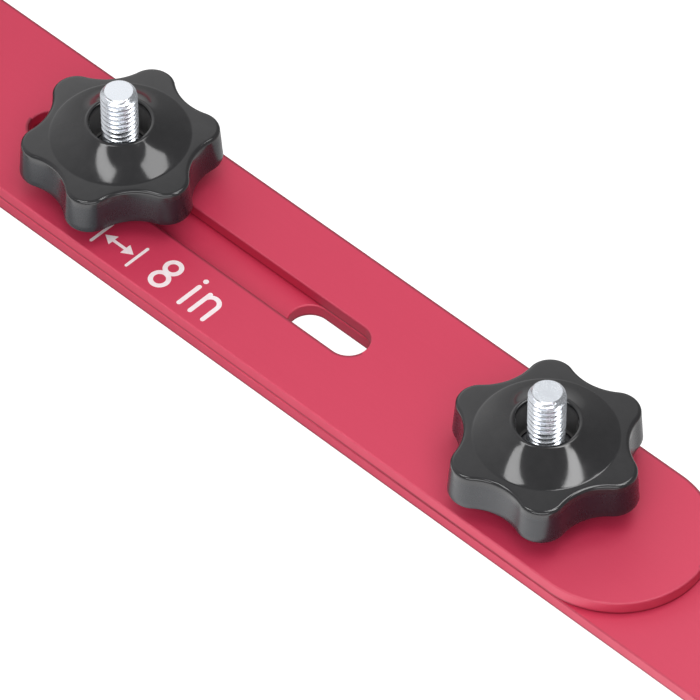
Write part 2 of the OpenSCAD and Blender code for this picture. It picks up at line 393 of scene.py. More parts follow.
def satin_red(settings):
    """Satin red sheet: blasted grain, faint rolling lines, slow clouds, rubbed edges lightened further by a
    painted highlight on the near side, and painted shade on the far edges, the walls, the seam and the foot
    of the sides.
    """
    material, start, point = new_material("satin_red")
    grain = noise(start, point, scale=4200)
    speck = noise(start, point, scale=1500, detail=3, roughness=0.6)
    cloud = noise(start, point, scale=38, detail=3)
    patch = noise(start, point, scale=260, detail=3)
    rolled = noise(start, object_point(start, (0.03, 1, 1)), scale=1800)
    edge = attribute(start, "edge")
    shade = attribute(start, "shade")
    tone = (0.34 * cloud + 0.3 * speck + 0.22 * grain + 0.14 * rolled).clamp()
    body = tone.mix(settings.red, settings.red_pale)
    # The edge mark is wear together with a painted highlight on the near side.
    wear_and_sheen = (edge * (0.25 + 0.9 * patch)).clamp()
    # Painted shade: the shade mark darkens the body towards the deep red.
    deep = (shade * (0.8 + 0.4 * cloud)).clamp().mix(body, settings.painted_shade_red)
    base = (0.4 * wear_and_sheen).mix(deep, settings.rubbed)
    uneven = 0.16 * (speck - 0.5) + 0.1 * (grain - 0.5) - 0.08 * wear_and_sheen
    rough = (settings.roughness + uneven).clamp(0.2, 0.8)
    blasted = 0.6 * grain + 0.4 * speck
    surface(start, base, rough, blasted, bump=0.16, reach=0.02, Metallic=0.03, IOR=1.5)
    return material


def moulded_black(settings):
    """Glossy moulded plastic: fine orange peel, dusty haze and hair scratches, with painted shade on the
    skirt and painted light in the recess round the thread.
    """
    material, start, point = new_material("moulded_black")
    peel = noise(start, point, scale=700)
    haze = noise(start, point, scale=160, detail=4, roughness=0.6)
    hair = noise(start, object_point(start, (1, 14, 3)), scale=420)
    dust = ((haze - 0.52) * 3.2).clamp() * 0.5
    well = attribute(start, "well")
    skirt = attribute(start, "skirt")
    clean = (0.3 * dust + 0.12 * peel).clamp().mix(settings.black, settings.dust)
    # Painted shade: the skirt is darker than the rest of the knob.
    moulded = (skirt * (0.7 + 0.4 * haze)).clamp().mix(clean, settings.skirt_shade_black)
    # Painted light: the recess round the thread is lightened.
    base = (well * (0.8 + 0.4 * haze)).clamp().mix(moulded, settings.well)
    uneven = 0.18 * skirt + 0.1 * (haze - 0.5) + 0.06 * (hair - 0.5)
    rough = (settings.roughness + uneven).clamp(0.05, 0.5)
    surface(start, base, rough, peel, bump=0.04, reach=0.02, IOR=1.52)
    return material


def zinc_plate(settings):
    """Bright zinc on the threads: cloudy brightness, painted shade in the grooves, fine drawn lines."""
    material, start, point = new_material("zinc_plate")
    cloud = noise(start, point, scale=520, detail=3)
    drawn = noise(start, object_point(start, (1, 1, 0.12)), scale=5200)
    tone = (0.7 * cloud + 0.3 * drawn).clamp()
    deep = attribute(start, "groove")
    bright = tone.mix(settings.zinc_grey, settings.zinc)
    # Painted shade: the groove mark darkens the plating deep in the thread.
    base = (deep ** 3 * 0.8).clamp().mix(bright, settings.groove)
    rough = (0.25 + 0.2 * (drawn - 0.5) + 0.12 * (cloud - 0.5)).clamp(0.1, 0.6)
    surface(start, base, rough, drawn, bump=0.06, reach=0.01, Metallic=1.0)
    return material


def stamped_steel(settings):
    """Stamped washers: plated, with a fine grain and rubbed patches."""
    material, start, point = new_material("stamped_steel")
    patch = noise(start, point, scale=340, detail=4, roughness=0.6)
    fine = noise(start, point, scale=3600)
    base = (0.6 * patch + 0.4 * fine).clamp().mix(settings.zinc_grey, settings.zinc)
    rough = (0.36 + 0.24 * (patch - 0.5) + 0.1 * (fine - 0.5)).clamp(0.15, 0.7)
    surface(start, base, rough, fine, bump=0.08, reach=0.01, Metallic=1.0)
    return material


def dark_steel(settings):
    """Blackened steel of the inserts: turned rings, rubbed paler in patches."""
    material, start, point = new_material("dark_steel")
    patch = noise(start, point, scale=420, detail=4, roughness=0.6)
    turned = noise(start, object_point(start, (0.2, 0.2, 3)), scale=2600)
    dark = tuple(settings.dark)
    pale = tuple(2.2 * c for c in dark[:3]) + (1.0,)
    base = (0.75 * patch + 0.25 * turned).clamp().mix(dark, pale)
    rough = (0.42 + 0.25 * (patch - 0.5) + 0.1 * (turned - 0.5)).clamp(0.15, 0.7)
    surface(start, base, rough, turned, bump=0.08, reach=0.01, Metallic=0.8)
    return material


def white_ink(settings):
    """Pad-printed white ink, slightly uneven over the grain of the sheet."""
    material, start, point = new_material("white_ink")
    thin = noise(start, point, scale=900, detail=3, roughness=0.6)
    grain = noise(start, point, scale=4200)
    ink = tuple(settings.ink)
    pink = (ink[0], ink[1] * 0.84, ink[2] * 0.87, 1.0)
    base = ((thin - 0.42) * 3).clamp().mix(pink, ink)
    rough = (0.5 + 0.2 * (grain - 0.5)).clamp()
    surface(start, base, rough, grain, bump=0.1, reach=0.01)
    return material


def pale_floor(settings):
    """Plain pale floor: white to look at and lit from the front. Its glow is painted light, bright in front,
    with a painted shadow that makes it dimmer under the gauge and behind it.
    """
    material, start, point = new_material("pale_floor")
    shade = noise(start, point, scale=6)
    paint = tuple(settings.floor)
    base = (0.2 * shade).mix(paint, tuple(0.97 * c for c in paint[:3]) + (1.0,))
    place = start.add("ShaderNodeSeparateXYZ", sockets={0: point})
    across = place.output("Y") - FLOOR_SLANT * place.output("X")
    span = 2 * FLOOR_LIGHT[-1][0]
    stops = [(y / span + 0.5, (level, level, level, 1)) for y, level in FLOOR_LIGHT]
    lit = start.add("ShaderNodeValToRGB", {"stops": stops}, {"Fac": (across / span + 0.5).clamp()})
    seen = start.add("ShaderNodeLightPath").output("Is Camera Ray")
    shown = seen.mix(lit, FLOOR_WHITE)
    glow = start.add("ShaderNodeEmission", sockets={"Color": shown, "Strength": settings.glow})
    matt = start.add("ShaderNodeBsdfDiffuse", sockets={"Color": base})
    both = start.add("ShaderNodeMixShader", sockets={0: FLOOR_PAINT, 1: glow, 2: matt})
    start.add("ShaderNodeOutputMaterial", sockets={"Surface": both})
    return material


# Mesh making.

def polar(r, degrees):
    a = math.radians(degrees)
    return r * math.cos(a), r * math.sin(a)


def arc_outline(arcs, step):
    """Points and outward normals of an outline made of arcs: (x, y, radius, from, to) in degrees,
    with a point at least every step degrees. A falling angle makes a hollow arc, or the rim of a hole."""
    outline = []
    for cx, cy, r, start, end in arcs:
        count = max(2, math.ceil(abs(end - start) / step))
        side = 1 if end > start else -1
        for i in range(count + 1):
            c, s = polar(1, start + (end - start) * i / count)
            point = (cx + r * c, cy + r * s, side * c, side * s)
            if not outline or math.dist(point[:2], outline[-1][:2]) > SAME_POINT:
                outline.append(point)
    if math.dist(outline[0][:2], outline[-1][:2]) < SAME_POINT:
        outline.pop()
    return outline


def eased_corners(corners, r):
    """Arcs that ease the corners of a polygon given anticlockwise."""
    arcs = []
    for i, (x, y) in enumerate(corners):
        before, after = corners[i - 1], corners[(i + 1) % len(corners)]
        a = math.atan2(y - before[1], x - before[0]) - math.pi / 2
        b = math.atan2(after[1] - y, after[0] - x) - math.pi / 2
        turn = math.remainder(b - a, TURN)
        side = 1 if turn > 0 else -1
        reach = -side * r / (1 + math.cos(turn))
        cx = x + reach * (math.cos(a) + math.cos(b))
        cy = y + reach * (math.sin(a) + math.sin(b))
        start = math.degrees(a) + (0 if side > 0 else 180)
        arcs.append((cx, cy, r, start, start + math.degrees(turn)))
    return arcs


def square_hole(cx, side, r):
    """Rim of a punched square hole with rounded corners, on the middle line of the gauge."""
    flat = side / 2 - r
    corners = ((flat, -flat, 0), (-flat, -flat, -90), (-flat, flat, 180), (flat, flat, 90))
    return arc_outline([(cx + x, y, r, start, start - 90) for x, y, start in corners], step=15)


def turned_half(outline):
    """The outline turned half a turn about the middle of the gauge."""
    return [(-x, -y, -nx, -ny) for x, y, nx, ny in outline]


def loft(bm, rings, closed=False):
    """Quads between rings of vertices; closed joins the last ring to the first."""
    pairs = list(zip(rings, rings[1:]))
    if closed:
        pairs.append((rings[-1], rings[0]))
    for below, above in pairs:
        count = len(below)
        for j in range(count):
            k = (j + 1) % count
            bm.faces.new((below[j], below[k], above[k], above[j]))


def to_object(name, bm, material, sharp=None):
    """A finished mesh object at the origin; edges that bend by more than sharp degrees stay sharp."""
    mesh = bpy.data.meshes.new(name)
    bm.to_mesh(mesh)
    bm.free()
    mesh.materials.append(material)
    mesh.shade_smooth()
    if sharp is not None:
        mesh.set_sharp_from_angle(angle=math.radians(sharp))
    piece = bpy.data.objects.new(name, mesh)
    bpy.context.scene.collection.objects.link(piece)
    return piece


def sheet_profile(bottom, top, edge, steps):
    """Rings of a sheet's edge from its underside to its top: kind, inset, height, and Z of the normal."""
    shoulder = 2.2 * edge
    rings = [("flat", shoulder, bottom, -1), ("base", edge, bottom, -1)]
    for i in range(1, steps + 1):
        a = math.radians(90 * i / steps)
        rings.append(("foot", edge * (1 - math.sin(a)), bottom + edge * (1 - math.cos(a)), -math.cos(a)))
    rings.append(("wall", 0, bottom + shoulder, 0))
    upper = {"base": "lip", "foot": "round"}
    for kind, inset, z, lift in reversed(rings[:]):
        rings.append((upper.get(kind, kind), inset, bottom + top - z, -lift))
    return rings


def edge_marks(kind, lift, x, ny, on_rim, seam):
    """Rubbing with painted highlight, and painted shade, of a vertex of a sheet's edge: pale on the near
    side and darker on the far side.
    A seam is the edge that lies on another sheet: 1 for the top or -1 for the bottom, and its span in X."""
    flat = math.sqrt(1 - lift * lift)
    rounding = 2 * max(lift, 0) * flat
    along = max(0, (x - SEAM_SHUT) / (SEAM_OPEN - SEAM_SHUT)) if seam else 1
    rub_and_sheen = 0
    if ny >= FAR_SIDE:
        shade = max(WALL_SHADE * flat, rounding, FAR_LIP if kind == "lip" else 0)
    elif kind == "foot":
        shade = FOOT_SHADE
    elif on_rim:
        rub_and_sheen = max(rounding, SIDE_SHEEN * flat)
        shade = (SIDE_SHADE + min(SIDE_DIM_MOST, SIDE_DIM * along)) * flat
    else:
        rub_and_sheen = rounding
        shade = WALL_SHADE * flat
    # Along the seam: painted shade where it opens, and the painted highlight kept where it is shut.
    if seam:
        side, begin, end = seam
        if side * lift > WALL_LIFT and begin < x < end:
            opened = min(1, along)
            rub_and_sheen *= 1 - opened
            shade = opened * SEAM_SHADE * min(1, 2 * flat)
    return rub_and_sheen, shade


def sheet_piece(name, outlines, bottom, top, edge, material, steps=4, seam=None):
    """A flat sheet with rounded edges, from the outline of its rim and those of its holes."""
    bm = bmesh.new()
    # The edge mark holds wear with painted highlight, the shade mark holds painted shade.
    layers = [bm.verts.layers.float.new(mark) for mark in ("edge", "shade")]
    profile = sheet_profile(bottom, top, edge, steps)
    normals = []
    rims = {0: [], len(profile) - 1: []}
    for outline in outlines:
        rings = []
        for kind, inset, z, lift in profile:
            flat = math.sqrt(1 - lift * lift)
            ring = []
            for x, y, nx, ny in outline:
                vert = bm.verts.new((x - nx * inset, y - ny * inset, z))
                marks = edge_marks(kind, lift, x, ny, outline is outlines[0], seam)
                for layer, mark in zip(layers, marks):
                    vert[layer] = mark
                ring.append(vert)
                normals.append((nx * flat, ny * flat, lift))
            rings.append(ring)
        loft(bm, rings)
        for i, edges in rims.items():
            ring = rings[i]
            edges += [bm.edges.get((ring[j - 1], ring[j])) for j in range(len(ring))]
    for i, edges in rims.items():
        bmesh.ops.triangle_fill(bm, use_beauty=True, edges=edges, normal=(0, 0, 1 if i else -1))
    piece = to_object(name, bm, material)
    piece.data.normals_split_custom_set_from_vertices(normals)
    return piece


def ring_at(bm, cx, cy, z, points):
    return [bm.verts.new((cx + x, cy + y, z)) for x, y in points]


def circle(r, count):
    return [polar(r, 360 * j / count) for j in range(count)]


def turned_piece(name, profile, cx, cy, count, material):
    """A ring turned from a closed profile of radii and heights."""
    bm = bmesh.new()
    loft(bm, [ring_at(bm, cx, cy, z, circle(r, count)) for r, z in profile], closed=True)
    bmesh.ops.recalc_face_normals(bm, faces=bm.faces)
    return to_object(name, bm, material, sharp=30)


def hand_over(piece, node):
    """The piece rides on the node's body and stands for it."""
    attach(piece, BODY_OF[node])
    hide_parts(node)


def baked(name, tree, inputs):
    """Runs a geometry tree on an empty mesh and returns the plain mesh it makes."""
    holder = bpy.data.objects.new(name, bpy.data.meshes.new(name))
    bpy.context.scene.collection.objects.link(holder)
    modifier = holder.modifiers.new(name, "NODES")
    modifier.node_group = tree
    for item in tree.interface.items_tree:
        if item.item_type == "SOCKET" and item.in_out == "INPUT":
            modifier[item.identifier] = inputs[item.name]
    depsgraph = bpy.context.evaluated_depsgraph_get()
    mesh = bpy.data.meshes.new_from_object(holder.evaluated_get(depsgraph))
    holder.modifiers.remove(modifier)
    bpy.data.objects.remove(holder)
    if not mesh.polygons:
        raise RuntimeError(f"{name}: the geometry tree made no faces")
    return mesh


def geometry_tree(name, sizes, counts):
    """An empty geometry tree with named inputs and a material, its input wires and a wire to start from."""
    tree = bpy.data.node_groups.new(name, "GeometryNodeTree")
    inputs = dict.fromkeys(sizes, "NodeSocketFloat") | dict.fromkeys(counts, "NodeSocketInt")
    inputs["Material"] = "NodeSocketMaterial"
    for label, kind in inputs.items():
        tree.interface.new_socket(label, in_out="INPUT", socket_type=kind)
    tree.interface.new_socket("Mesh", in_out="OUTPUT", socket_type="NodeSocketGeometry")
    start = Wire(tree)
    first = start.add("NodeGroupInput")
    return tree, start, {label: first.output(label) for label in inputs}


def close_tree(start, geometry, material):
    """Ends a geometry tree: instances made real, material set."""
    real = start.add("GeometryNodeRealizeInstances", sockets={"Geometry": geometry})
    painted = start.add("GeometryNodeSetMaterial", sockets={"Geometry": real, "Material": material})
    start.add("NodeGroupOutput", sockets={"Mesh": painted})


def thread_tree():
    """A threaded shank: a grid wrapped into a screw surface and chamfered at its top."""
    tree, start, size = geometry_tree(
        "threaded_shank",
        ("Diameter", "Pitch", "Depth", "Length", "Chamfer", "Foot", "Centre X", "Centre Y"),
        ("Rows", "Columns"),
    )
    # Flats on the crest and in the root of the thread, as shares of the pitch.
    crest_flat, root_flat = 0.125, 0.25
    radius, pitch, reach = size["Diameter"] * 0.5, size["Pitch"], size["Length"]
    grid = start.add(
        "GeometryNodeMeshGrid",
        sockets={"Size X": 1.0, "Size Y": 1.0, "Vertices X": size["Rows"], "Vertices Y": size["Columns"]},
    )
    where = start.add("ShaderNodeSeparateXYZ", sockets={0: start.add("GeometryNodeInputPosition")})
    # The grid runs a turn past each end and is cut level there; its last rows close the top.
    travel = (where + 0.5) * (reach + 2 * pitch)
    turn = where.output("Y") + 0.5
    rise = travel + pitch * turn - pitch
    phase = start.math("FRACT", travel / pitch)
    crest = start.math("ABSOLUTE", phase - 0.5) * 2
    groove = ((1 - crest_flat - crest) / (1 - crest_flat - root_flat)).clamp()
    height = rise.clamp(0.0, reach)
    screw = radius - size["Depth"] * groove
    ended = start.math("MINIMUM", screw, radius - size["Chamfer"] + (reach - height))
    below = start.math("LESS_THAN", rise, SAME_POINT)
    beyond = start.math("GREATER_THAN", rise, reach + 0.5 * pitch)
    r = (ended * (1 - below) + radius * below) * (1 - beyond)
    heading = turn * TURN
    point = start.add(
        "ShaderNodeCombineXYZ",
        sockets={
            0: size["Centre X"] + r * start.math("COSINE", heading),
            1: size["Centre Y"] + r * start.math("SINE", heading),
            2: size["Foot"] + height,
        },
    )
    under_chamfer = start.math("LESS_THAN", height, reach - size["Chamfer"])
    # The groove mark stored here carries painted shade into the thread's grooves.
    marked = start.add(
        "GeometryNodeStoreNamedAttribute",
        {"data_type": "FLOAT", "domain": "POINT"},
        {"Geometry": grid, "Name": "groove", "Value": groove * under_chamfer},
    )
    wrapped = start.add("GeometryNodeSetPosition", sockets={"Geometry": marked, "Position": point})
    welded = start.add("GeometryNodeMergeByDistance", sockets={"Geometry": wrapped, "Distance": WELD})
    close_tree(start, welded, size["Material"])
    return tree


def rib_tree():
    """Ribs set round a boss like the spokes of a wheel."""
    tree, start, size = geometry_tree(
        "knob_ribs",
        ("Inner radius", "Outer radius", "Thickness", "Height", "Foot", "Turn", "Centre X", "Centre Y"),
        ("Count",),
    )
    span = size["Outer radius"] - size["Inner radius"]
    middle = (size["Outer radius"] + size["Inner radius"]) * 0.5
    box_size = start.add("ShaderNodeCombineXYZ", sockets={0: span, 1: size["Thickness"], 2: size["Height"]})
    box = start.add(
        "GeometryNodeMeshCube",
        sockets={"Size": box_size, "Vertices X": 5, "Vertices Y": 2, "Vertices Z": 4},
    )
    spots = start.add("GeometryNodeMeshCircle", sockets={"Vertices": size["Count"], "Radius": 1.0})
    index = start.add("GeometryNodeInputIndex")
    heading = index * TURN / size["Count"] + size["Turn"]
    spot = start.add(
        "ShaderNodeCombineXYZ",
        sockets={
            0: size["Centre X"] + middle * start.math("COSINE", heading),
            1: size["Centre Y"] + middle * start.math("SINE", heading),
            2: size["Foot"] + size["Height"] * 0.5,
        },
    )
    placed = start.add("GeometryNodeSetPosition", sockets={"Geometry": spots, "Position": spot})
    facing = start.add("ShaderNodeCombineXYZ", sockets={2: heading})
    ribs = start.add(
        "GeometryNodeInstanceOnPoints",
        sockets={"Points": placed, "Instance": box, "Rotation": facing},
    )
    close_tree(start, ribs, size["Material"])
    return tree


# Operators, one for each group of like pieces.

class GAUGE_OT_bars(bpy.types.Operator):
    """Make the two sliding bars"""

    bl_idname = "gauge.bars"
    bl_label = "Bars"

    def execute(self, context):
        s = context.scene.gauge_sheet
        end = BAR_WIDTH / 2
        slot = s.slot_width / 2
        near = BOLT_X - s.slot_near - slot
        far = BOLT_X - s.slot_near - s.slot_length + slot
        inner = arc_outline([(BAR_INNER_END - end, 0, end, -90, 90)], step=1.5)
        outer = arc_outline([(-PIVOT_X, 0, end, 90, 270)], step=1.5)
        # Points on the straight sides, where the shade of the seam changes.
        back_stops = [(-x, end, 0, 1) for x in (SEAM_SHUT, SEAM_OPEN)]
        front_stops = [(x, -end, 0, -1) for x in (SEAM_SHUT, SEAM_OPEN)]
        rim = [*inner, *back_stops, *outer, *front_stops]
        holes = [
            arc_outline([(near, 0, slot, 90, -90), (far, 0, slot, -90, -270)], step=4),
            square_hole(BOLT_X, s.hole, s.hole_corner),
            square_hole(-PIVOT_X, s.hole, s.hole_corner),
        ]
        outlines = [rim, *holes]
        material = satin_red(s)
        bars = (
            ("upper_bar", outlines, (-1, -BAR_INNER_END, PIVOT_X)),
            ("lower_bar", [turned_half(o) for o in outlines], (1, -PIVOT_X, BAR_INNER_END)),
        )
        for node, shapes, seam in bars:
            bottom, top = low(node)[2], high(node)[2]
            piece = sheet_piece(f"{node}_sheet", shapes, bottom, top, s.edge, material, seam=seam)
            hand_over(piece, node)
        return {"FINISHED"}


class GAUGE_OT_end_plates(bpy.types.Operator):
    """Make the two swivelling end plates"""

    bl_idname = "gauge.end_plates"
    bl_label = "End plates"

    def execute(self, context):
        s = context.scene.gauge_sheet
        lug, fillet, corner = BAR_WIDTH / 2, s.web_fillet, s.corner
        strip_in = PLATE_OUT - s.strip_width
        fx = strip_in - fillet - PIVOT_X
        fy = math.sqrt((lug + fillet) ** 2 - fx**2)
        touch = math.degrees(math.atan2(fy, fx))
        right = arc_outline(
            [
                (PLATE_OUT - corner, -PLATE_EDGE + corner, corner, -90, 0),
                (PLATE_OUT - corner, PLATE_EDGE - corner, corner, 0, 90),
                (strip_in + corner, PLATE_EDGE - corner, corner, 90, 180),
                (PIVOT_X + fx, fy, fillet, 0, touch - 180),
                (PIVOT_X, 0, lug, touch, 360 - touch),
                (PIVOT_X + fx, -fy, fillet, 180 - touch, 0),
                (strip_in + corner, -PLATE_EDGE + corner, corner, 180, 270),
            ],
            step=2,
        )
        hole = square_hole(PIVOT_X, s.hole, s.hole_corner)
        material = bpy.data.materials.get("satin_red") or satin_red(s)
        plates = (
            ("right_end_plate", [right, hole]),
            ("left_end_plate", [turned_half(right), turned_half(hole)]),
        )
        for node, shapes in plates:
            piece = sheet_piece(f"{node}_sheet", shapes, low(node)[2], high(node)[2], s.edge, material)
            hand_over(piece, node)
        return {"FINISHED"}


class GAUGE_OT_bolts(bpy.types.Operator):
    """Make the carriage bolts with their screw threads"""

    bl_idname = "gauge.bolts"
    bl_label = "Bolts"

    def execute(self, context):
        s = context.scene.gauge_bolt
        material = zinc_plate(s)
        tree = thread_tree()
        foot = s.head_height + SHEET - s.neck_short
        rows = math.floor((BOLT_TOP - foot) / s.pitch * s.rows)
        for place in PLACES:
            node = f"{place}_bolt"
            cx, cy = axis_of(node)
            shank = baked(
                f"{node}_shank",
                tree,
                {
                    "Diameter": s.diameter,
                    "Pitch": s.pitch,
                    "Depth": s.depth,
                    "Length": rows * s.pitch / s.rows,
                    "Chamfer": s.chamfer,
                    "Foot": foot,
                    "Centre X": cx,
                    "Centre Y": cy,
                    "Rows": rows + 2 * s.rows + 1,
                    "Columns": s.columns + 1,
                    "Material": material,
                },
            )
            bm = bmesh.new()
            bm.from_mesh(shank)
            bpy.data.meshes.remove(shank)
            self.head(bm, s, cx, cy, foot, high(node)[0] - cx)
            bmesh.ops.remove_doubles(bm, verts=bm.verts, dist=WELD)
            bmesh.ops.recalc_face_normals(bm, faces=bm.faces)
            piece = to_object(f"{node}_threaded", bm, material, sharp=38)
            hand_over(piece, node)
        return {"FINISHED"}

    def head(self, bm, s, cx, cy, foot, head_r):
        """Mushroom head and square neck, open where the thread begins."""
        count = s.columns
        lip, eased, steps = 0.35 * MM, 0.12 * MM, 12
        rise = s.head_height - lip
        dome = (head_r**2 + rise**2) / (2 * rise)
        profile = []
        for i in range(1, steps + 1):
            a = math.asin(head_r / dome) * i / steps
            profile.append((dome * math.sin(a), dome * (1 - math.cos(a))))
        seat = s.head_height - SLIDE_GAP
        profile += [(head_r, seat - eased), (head_r - eased, seat)]
        rings = [ring_at(bm, cx, cy, z, circle(r, count)) for r, z in profile]
        square = [
            tuple(c * s.neck / 2 / max(abs(p[0]), abs(p[1])) for c in p)
            for p in circle(1, count)
        ]
        rings.append(ring_at(bm, cx, cy, seat, square))
        rings.append(ring_at(bm, cx, cy, foot, square))
        rings.append(ring_at(bm, cx, cy, foot, circle(s.diameter / 2, count)))
        loft(bm, rings)
        apex = bm.verts.new((cx, cy, 0))
        first = rings[0]
        for j in range(count):
            bm.faces.new((apex, first[(j + 1) % count], first[j]))


class GAUGE_OT_washers(bpy.types.Operator):
    """Make the flat washers"""

    bl_idname = "gauge.washers"
    bl_label = "Washers"

    def execute(self, context):
        s = context.scene.gauge_bolt
        material = stamped_steel(s)
        clearance, roll, soft, around = 0.2 * MM, 0.2 * MM, 0.1 * MM, 96
        bore = s.diameter / 2 + clearance
        for place in PLACES:
            node = f"{place}_washer"
            cx, cy = axis_of(node)
            outer = high(node)[0] - cx
            z0, z1 = low(node)[2] + SLIDE_GAP, high(node)[2]
            profile = [(bore, z1 - soft), (bore, z0 + soft), (bore + soft, z0), (outer - soft, z0)]
            profile += [(outer, z0 + soft), (outer, z1 - roll), (outer - 0.3 * roll, z1 - 0.3 * roll)]
            profile += [(outer - roll, z1), (bore + soft, z1)]
            piece = turned_piece(f"{node}_ring", profile, cx, cy, around, material)
            hand_over(piece, node)
        return {"FINISHED"}


class GAUGE_OT_inserts(bpy.types.Operator):
    """Make the threaded inserts of the knobs"""

    bl_idname = "gauge.inserts"
    bl_label = "Threaded inserts"

    def execute(self, context):
        s = context.scene.gauge_bolt
        material = dark_steel(s)
        clearance, cut, around = 0.1 * MM, 0.25 * MM, 72
        bore = s.diameter / 2 + clearance
        for place in PLACES:
            node = f"{place}_insert"
            cx, cy = axis_of(node)
            outer = high(node)[0] - cx
            z0, z1 = low(node)[2], high(node)[2]
            profile = [(bore, z1 - cut), (bore, z0 + cut), (bore + cut, z0), (outer - cut, z0)]
            profile += [(outer, z0 + cut), (outer, z1 - cut), (outer - cut, z1), (bore + cut, z1)]
            piece = turned_piece(f"{node}_sleeve", profile, cx, cy, around, material)
            hand_over(piece, node)
        return {"FINISHED"}


class GAUGE_OT_knobs(bpy.types.Operator):
    """Make the star knobs and the ribs under them"""

    bl_idname = "gauge.knobs"
    bl_label = "Star knobs"
    lobes = 6
    turns = {"left_centre": 51.0, "right_centre": 9.5, "left_pivot": 20.0, "right_pivot": 20.0}

    def execute(self, context):
        s = context.scene.gauge_knob
        material = moulded_black(s)
        ribs = rib_tree()
        for place in PLACES:
            turn = self.turns[place]
            node = f"{place}_knob"
            cx, cy = axis_of(f"{place}_bolt")
            z = low(node)[2]
            bm = bmesh.new()
            marks = {kind: bm.verts.layers.float.new(kind) for kind in ("well", "skirt")}
            star = self.star(s, turn)
            angles = [math.degrees(math.atan2(y, x)) for x, y, _, _ in star]
            rings = []
            for kind, value, up in self.profile(s, high(node)[2] - z):
                if kind in ("turn", "well"):
                    points = [polar(value, a) for a in angles]
                else:
                    points = [(x - nx * value, y - ny * value) for x, y, nx, ny in star]
                ring = ring_at(bm, cx, cy, z + up, points)
                if kind == "rim":
                    for vert, (x, y) in zip(ring, points):
                        vert.co.z -= math.tan(s.crown) * max(0, math.hypot(x, y) - s.hub_foot)
                if kind in marks:
                    for vert in ring:
                        vert[marks[kind]] = 1
                rings.append(ring)
            loft(bm, rings, closed=True)
            bmesh.ops.recalc_face_normals(bm, faces=bm.faces)
            piece = to_object(f"{node}_star", bm, material, sharp=34)
            hand_over(piece, node)
            self.ribs(s, place, ribs, turn, cx, cy, z, material)
        return {"FINISHED"}

    def star(self, s, turn):
        """Outline of the lobes and of the hollows between them, as arcs that touch without a corner."""
        tip = s.across / 2
        hollow = tip - s.hollow
        lobe_x = tip - s.lobe
        half = 180 / self.lobes
        c, sine = polar(1, half)
        apart = lobe_x**2 + hollow**2 - 2 * lobe_x * hollow * c
        valley = (apart - s.lobe**2) / (2 * (s.lobe - hollow + lobe_x * c))
        valley_x = hollow + valley
        join = math.degrees(math.atan2(valley_x * sine, valley_x * c - lobe_x))
        arcs = []
        for k in range(self.lobes):
            a = 2 * half * k + turn
            b = a + half
            arcs.append((*polar(lobe_x, a), s.lobe, a - join, a + join))
            arcs.append((*polar(valley_x, b), valley, b + 180 - half + join, b + 180 + half - join))
        return arc_outline(arcs, step=4)

    def profile(self, s, hub_z):
        """Rings of the knob from its bore round the outside and back: kind, inset or radius, height."""
        foot, rim = s.boss_drop, s.boss_drop + s.skirt
        roof = rim - s.wall
        r = s.rim_round
        fine = 0.15 * MM
        skirt_steps, rim_steps, foot_steps, hub_steps = 5, 8, 4, 12
        rings = [
            ("turn", s.seat, 2 * fine),
            ("turn", s.seat + fine, fine / 2),
            ("turn", s.seat + 2 * fine, 0),
            ("turn", s.boss - 2 * fine, 0),
            ("turn", s.boss - fine / 2, fine / 2),
            ("turn", s.boss, 2 * fine),
            ("turn", s.boss, roof - 4 * fine),
            ("turn", s.boss + fine, roof - fine),
            ("turn", s.boss + 4 * fine, roof),
            ("star", s.wall + 4 * fine, roof),
            ("star", s.wall + fine, roof - fine),
            ("star", s.wall, roof - 4 * fine),
            ("star", s.wall - fine, foot + fine),
            ("star", s.wall - 2 * fine, foot),
            ("skirt", 2 * fine - s.flare, foot),
            ("skirt", fine / 2 - s.flare, foot + fine / 2),
            ("skirt", -s.flare, foot + 2 * fine),
        ]
        for i in range(1, skirt_steps):
            up = foot + (rim - r - foot) * i / skirt_steps
            rings.append(("skirt", -s.flare * (1 - i / skirt_steps), up))
        for i in range(rim_steps + 1):
            a = math.radians(90 * i / rim_steps)
            rings.append(("rim", r * (1 - math.cos(a)), rim - r + r * math.sin(a)))
        rise, span = hub_z - rim, s.hub_foot - s.hub_top
        lean = math.atan2(rise, span)
        sweep = math.asin(math.hypot(rise, span) / 2 / s.hub_hollow)
        first, last = lean - sweep, lean + sweep
        reach = s.foot_round * math.tan(first / 2)
        rings.append(("rim", r + fine / 2, rim))
        rings.append(("turn", s.hub_foot + 2 * reach, rim))
        for i in range(foot_steps + 1):
            a = first * i / foot_steps
            out = s.hub_foot + reach - s.foot_round * math.sin(a)
            rings.append(("turn", out, rim + s.foot_round * (1 - math.cos(a))))
        for i in range(1, hub_steps):
            a = first + (last - first) * i / hub_steps
            out = s.hub_foot - s.hub_hollow * (math.sin(a) - math.sin(first))
            rings.append(("turn", out, rim + s.hub_hollow * (math.cos(first) - math.cos(a))))
        rings += [
            ("turn", s.hub_top + fine, hub_z - 0.7 * fine),
            ("turn", s.hub_top + 0.2 * fine, hub_z - 0.2 * fine),
            ("turn", s.hub_top - fine, hub_z),
            ("turn", s.recess + fine, hub_z),
            ("turn", s.recess + fine / 4, hub_z - fine / 2),
            ("turn", s.recess, hub_z - 2 * fine),
            # Painted light: the recess rings below are lightened in the material.
            ("well", s.recess, hub_z - 8 * fine),
            ("well", s.recess, s.insert_top + fine),
            ("well", s.recess, s.insert_top),
            ("well", s.seat, s.insert_top),
            ("turn", s.seat, s.insert_top - fine),
        ]
        return rings

